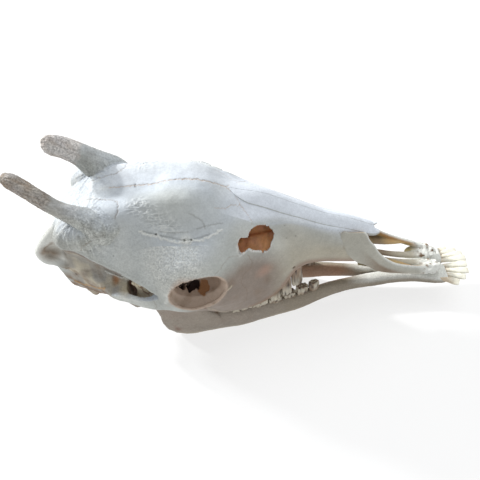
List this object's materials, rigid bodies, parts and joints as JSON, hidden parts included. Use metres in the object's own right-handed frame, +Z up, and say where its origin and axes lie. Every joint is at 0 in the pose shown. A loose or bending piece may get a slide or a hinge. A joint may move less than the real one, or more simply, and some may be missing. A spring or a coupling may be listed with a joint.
{
  "type": "giraffe skull",
  "caption": "Giraffe skull with closed lower jaw, horn-like ossicones, hollow eye sockets, long tapering face and worn cheek teeth, lying on the lower borders of its jaw",
  "frame": {"origin": "point of the table under the middle of the skull's bounding box", "axes": "+X from the nape towards the muzzle, +Y towards the animal's left, +Z up from the table"},
  "size_m": [0.6714, 0.2328, 0.3663],
  "materials": {
    "bone": "matte",
    "jaw_bone": "matte",
    "horn_bone": "matte",
    "tan_bone": "matte"
  },
  "bodies": {
    "root": {"cranium": "bone", "nasal_right": "bone", "nasal_left": "bone", "ossicone_right": "horn_bone", "ossicone_left": "horn_bone", "premaxilla_right": "tan_bone", "premaxilla_left": "tan_bone", "mandible_right": "jaw_bone", "mandible_left": "jaw_bone"}
  },
  "joints": []
}
